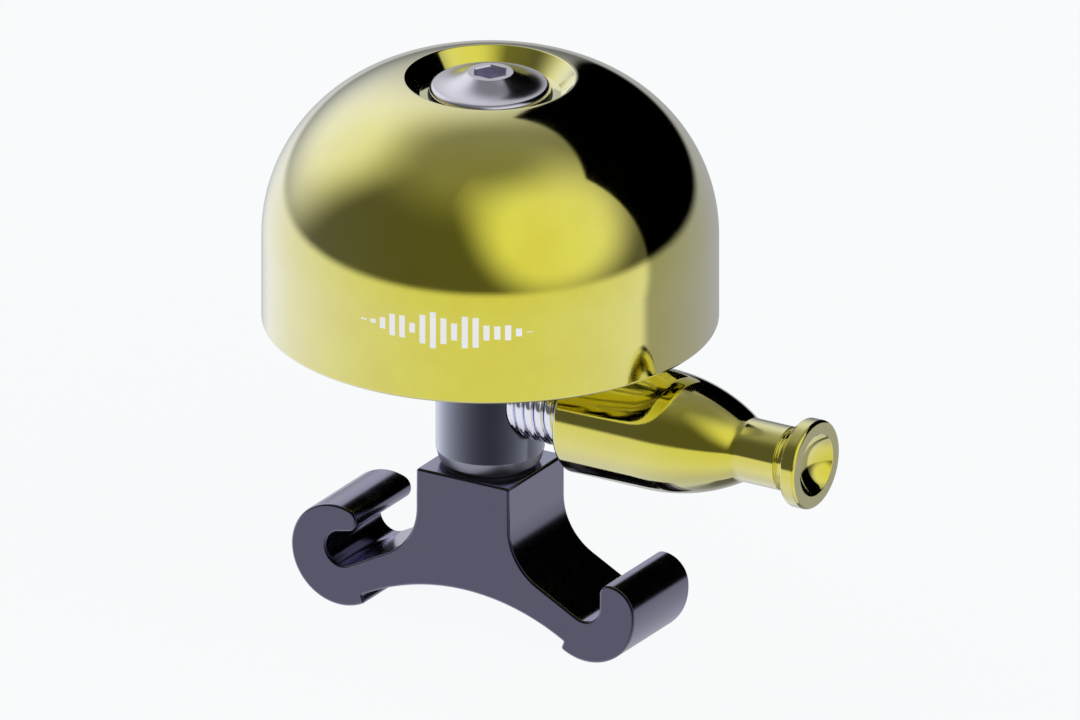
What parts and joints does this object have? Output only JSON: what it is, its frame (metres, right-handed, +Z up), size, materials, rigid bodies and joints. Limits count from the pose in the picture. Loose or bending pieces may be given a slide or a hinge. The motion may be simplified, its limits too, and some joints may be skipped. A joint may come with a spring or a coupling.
{
  "type": "bicycle bell",
  "caption": "Handlebar bell: turned brass dome on a post, saddle bracket with strap hooks, and a spring-held brass striker that is flicked against the rim.",
  "frame": {"origin": "top of the bracket's saddle arch, where the handlebar's crown lies, on the bell's axis", "axes": "+Z up along the bell's axis, +X across the handlebar towards the striker, +Y along the handlebar"},
  "size_m": [0.0506, 0.038, 0.0489],
  "materials": {
    "brass": "polished",
    "stainless": "satin polished",
    "spring_steel": "bright",
    "steel": "plain",
    "anodised": "black anodised, semi-gloss",
    "nylon": "natural",
    "black_nylon": "black"
  },
  "bodies": {
    "base": {"bell_dome": "brass", "cap_screw": "stainless", "cap_washer": "black_nylon", "dome_bush": "nylon", "post": "anodised", "post_seat_washer": "black_nylon", "bracket": "anodised", "base_screw": "steel", "base_washer": "steel", "base_lock_washer": "steel", "spring_anchor": "steel"},
    "spring": {"striker_spring": "spring_steel"},
    "striker": {"striker_body": "brass", "striker_stud": "steel"}
  },
  "joints": [
    {"name": "striker_sweep", "type": "hinge", "parent": "base", "child": "spring", "pos_m": [0.00563, 0, 0.01642], "axis": [0, 0, 1], "range_deg": [-20, 20], "stiffness_Nm_per_rad": 0.08, "deforming": ["striker_spring"]},
    {"name": "striker_flick", "type": "hinge", "parent": "spring", "child": "striker", "pos_m": [0.00781, 0, 0.01642], "axis": [0, -1, 0], "range_deg": [-20, 7], "stiffness_Nm_per_rad": 0.08}
  ]
}
